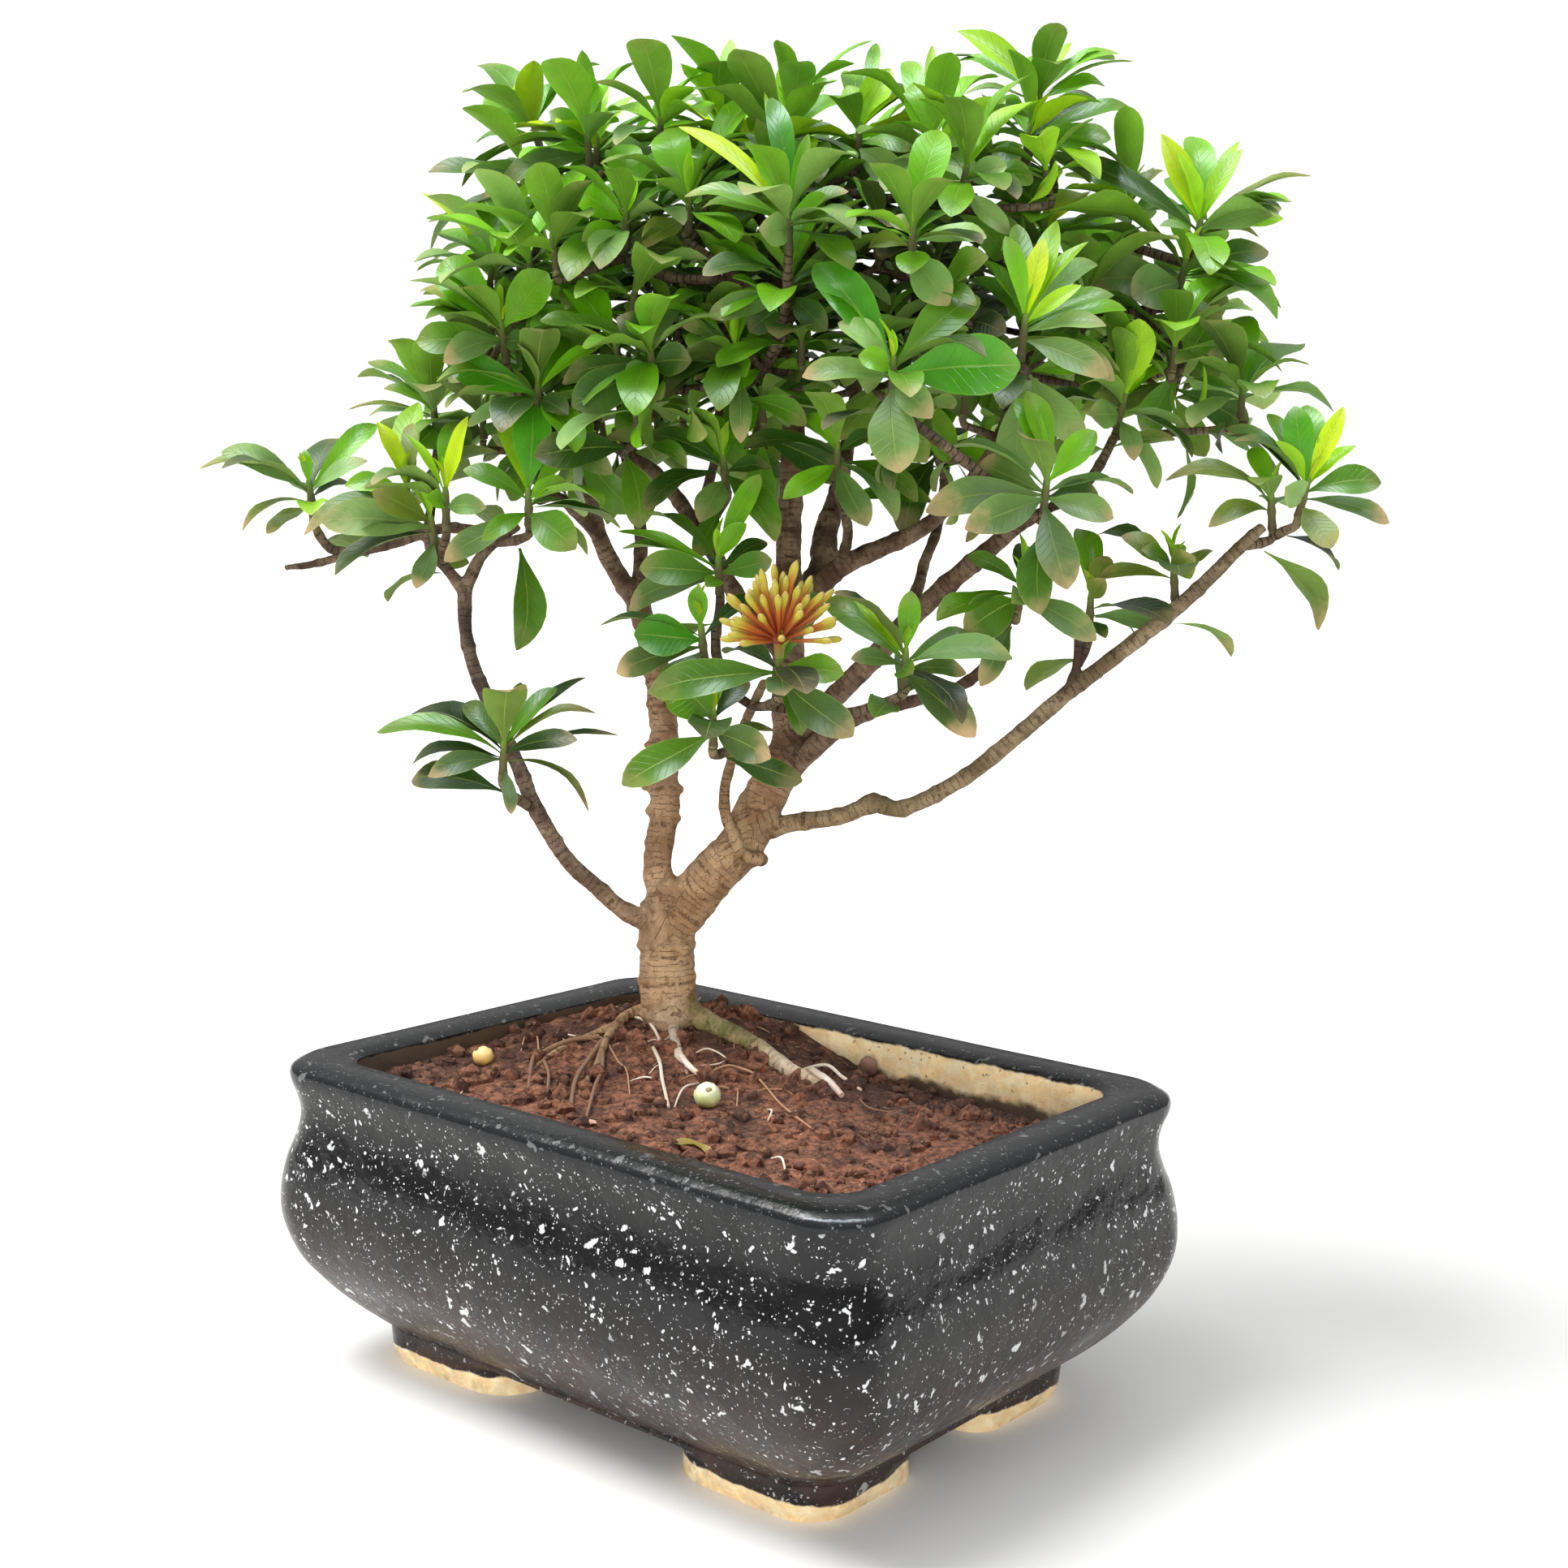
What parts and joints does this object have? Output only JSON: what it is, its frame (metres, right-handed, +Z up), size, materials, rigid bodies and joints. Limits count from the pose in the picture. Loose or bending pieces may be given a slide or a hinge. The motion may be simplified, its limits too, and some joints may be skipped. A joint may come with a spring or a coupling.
{
  "type": "ixora bonsai",
  "caption": "Small flowering bonsai shrub with open whorled foliage and a head of closed buds, planted in a rectangular glazed tray pot on corner feet.",
  "frame": {"origin": "middle of the whole part's bounding box, on the ground under the pot's feet", "axes": "+X along the pot's long side, +Y to the pot's back, where the trunk stands, +Z up"},
  "size_m": [0.4106, 0.3791, 0.5466],
  "materials": {
    "glaze": "glossy charcoal glaze with white speckles",
    "soil": "crumbly red-brown earth",
    "bark": "matte ringed bark",
    "leaf": "glossy leathery leaf",
    "bud": "soft satin buds",
    "yellow_fruit": "satin",
    "green_fruit": "satin",
    "pebble": "matte",
    "fallen_leaf": "dry"
  },
  "bodies": {
    "root": {"bloom_head": "bud", "fallen_fruit_green": "green_fruit", "fallen_fruit_yellow": "yellow_fruit", "fallen_leaf": "fallen_leaf", "pebble": "pebble", "pot": "glaze", "shoot_back_left": "leaf", "shoot_back_low": "leaf", "shoot_back_middle": "leaf", "shoot_back_right": "leaf", "shoot_below_bloom": "leaf", "shoot_beside_bloom": "leaf", "shoot_big_pair": "leaf", "shoot_bloom_collar": "leaf", "shoot_bright_low": "leaf", "shoot_crown_corner": "leaf", "shoot_crown_left": "leaf", "shoot_crown_right": "leaf", "shoot_far_left": "leaf", "shoot_far_right": "leaf", "shoot_inner_dark": "leaf", "shoot_left_broad": "leaf", "shoot_left_dark": "leaf", "shoot_left_glossy": "leaf", "shoot_left_inner": "leaf", "shoot_left_of_bloom": "leaf", "shoot_left_olive": "leaf", "shoot_left_upright": "leaf", "shoot_lime_corner": "leaf", "shoot_lime_fork": "leaf", "shoot_lime_middle": "leaf", "shoot_lime_pair": "leaf", "shoot_lime_right": "leaf", "shoot_lime_top": "leaf", "shoot_low_fresh": "leaf", "shoot_low_glossy": "leaf", "shoot_low_left": "leaf", "shoot_low_right": "leaf", "shoot_mid_top": "leaf", "shoot_olive_small": "leaf", "shoot_olive_twig": "leaf", "shoot_over_bloom": "leaf", "shoot_pale_right": "leaf", "shoot_pale_tall": "leaf", "shoot_right_arching": "leaf", "shoot_right_broad": "leaf", "shoot_right_drooping": "leaf", "shoot_right_hanging": "leaf", "shoot_right_inner": "leaf", "shoot_tall_front": "leaf", "shoot_tall_right": "leaf", "shoot_under_crown": "leaf", "shoot_under_front": "leaf", "shoot_under_left": "leaf", "shoot_under_middle": "leaf", "shoot_under_right": "leaf", "shoot_young_right": "leaf", "soil": "soil", "wood": "bark"}
  },
  "joints": []
}
